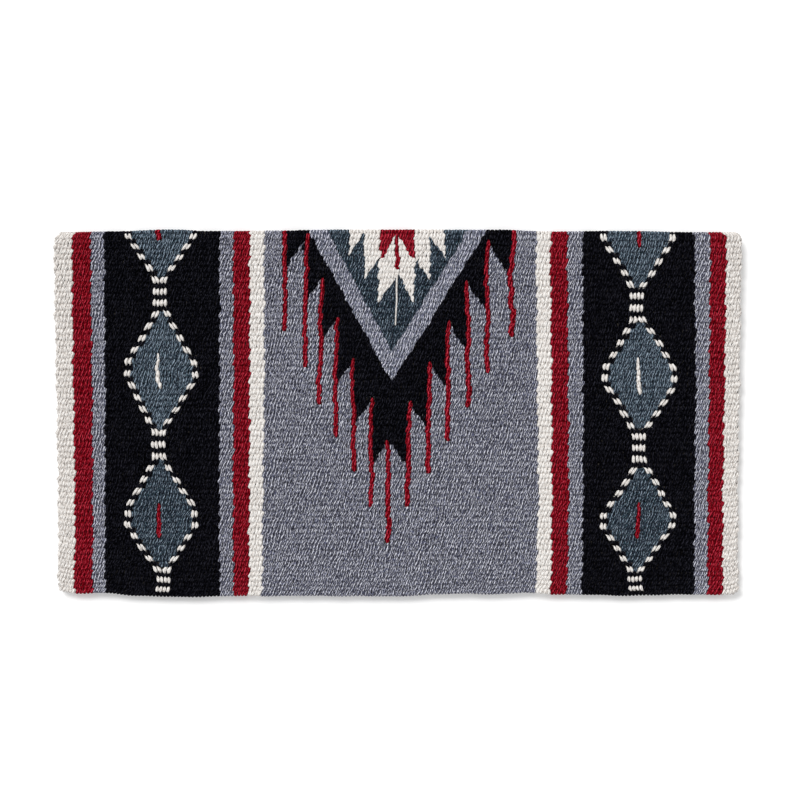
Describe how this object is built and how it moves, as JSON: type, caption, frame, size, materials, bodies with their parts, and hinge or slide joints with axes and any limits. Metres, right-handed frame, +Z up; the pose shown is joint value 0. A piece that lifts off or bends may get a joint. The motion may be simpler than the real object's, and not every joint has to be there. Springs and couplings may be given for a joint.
{
  "type": "saddle blanket",
  "caption": "Thick weft-faced saddle blanket, folded in half and lying flat, with edge stripes, diamond chains and a stepped centre medallion.",
  "frame": {"origin": "on the floor, under the middle of the folded blanket's bounding box", "axes": "+X along the warps, across the picture from left to right; +Y from the free edges to the fold; +Z up, out of the front leaf"},
  "size_m": [0.8636, 0.462, 0.0195],
  "materials": {
    "white_wool": "matt hand-spun wool, natural white",
    "red_wool": "matt dyed wool, deep red",
    "grey_wool": "matt heathered wool, mid grey",
    "light_grey_wool": "matt heathered wool, light cool grey",
    "black_wool": "matt dyed wool, black",
    "slate_wool": "matt heathered wool, slate blue-grey",
    "warp_wool": "tightly spun undyed warp yarn"
  },
  "bodies": {
    "back_panel": {"back_black_band_left": "black_wool", "back_black_band_right": "black_wool", "back_centre_field": "grey_wool", "back_chevron": "light_grey_wool", "back_core": "red_wool", "back_diamond_left_1": "slate_wool", "back_diamond_left_2": "slate_wool", "back_diamond_left_3": "slate_wool", "back_diamond_outline_left": "white_wool", "back_diamond_outline_right": "white_wool", "back_diamond_right_1": "slate_wool", "back_diamond_right_2": "slate_wool", "back_diamond_right_3": "slate_wool", "back_end_band_left": "white_wool", "back_end_band_right": "white_wool", "back_inner_grey_left": "grey_wool", "back_inner_grey_right": "grey_wool", "back_inner_red_left": "red_wool", "back_inner_red_right": "red_wool", "back_inner_white_left": "white_wool", "back_inner_white_right": "white_wool", "back_medallion": "slate_wool", "back_outer_grey_left": "grey_wool", "back_outer_grey_right": "grey_wool", "back_outer_red_left": "red_wool", "back_outer_red_right": "red_wool", "back_serration": "black_wool", "back_star": "white_wool"},
    "fold_rib_lower": {"fold_rib_lower": "grey_wool", "fold_warp_lower": "warp_wool"},
    "fold_rib_upper": {"fold_rib_upper": "grey_wool", "fold_warp_upper": "warp_wool"},
    "front_panel": {"front_black_band_left": "black_wool", "front_black_band_right": "black_wool", "front_centre_field": "grey_wool", "front_chevron": "light_grey_wool", "front_core": "red_wool", "front_diamond_left_1": "slate_wool", "front_diamond_left_2": "slate_wool", "front_diamond_left_3": "slate_wool", "front_diamond_outline_left": "white_wool", "front_diamond_outline_right": "white_wool", "front_diamond_right_1": "slate_wool", "front_diamond_right_2": "slate_wool", "front_diamond_right_3": "slate_wool", "front_end_band_left": "white_wool", "front_end_band_right": "white_wool", "front_inner_grey_left": "grey_wool", "front_inner_grey_right": "grey_wool", "front_inner_red_left": "red_wool", "front_inner_red_right": "red_wool", "front_inner_white_left": "white_wool", "front_inner_white_right": "white_wool", "front_medallion": "slate_wool", "front_outer_grey_left": "grey_wool", "front_outer_grey_right": "grey_wool", "front_outer_red_left": "red_wool", "front_outer_red_right": "red_wool", "front_serration": "black_wool", "front_star": "white_wool"}
  },
  "joints": [
    {"name": "fold_hinge_lower", "type": "hinge", "parent": "back_panel", "child": "fold_rib_lower", "pos_m": [0, 0.22502, 0.0035], "axis": [-1, 0, 0], "range_deg": [0, 60]},
    {"name": "fold_hinge_middle", "type": "hinge", "parent": "fold_rib_lower", "child": "fold_rib_upper", "pos_m": [0, 0.22862, 0.00974], "axis": [-1, 0, 0], "range_deg": [0, 60]},
    {"name": "fold_hinge_upper", "type": "hinge", "parent": "fold_rib_upper", "child": "front_panel", "pos_m": [0, 0.22502, 0.01597], "axis": [-1, 0, 0], "range_deg": [0, 60.65]}
  ],
  "couplings": [
    {"joint": "fold_hinge_middle", "follows": "fold_hinge_lower", "ratio": 1},
    {"joint": "fold_hinge_upper", "follows": "fold_hinge_lower", "ratio": 1.0108}
  ]
}
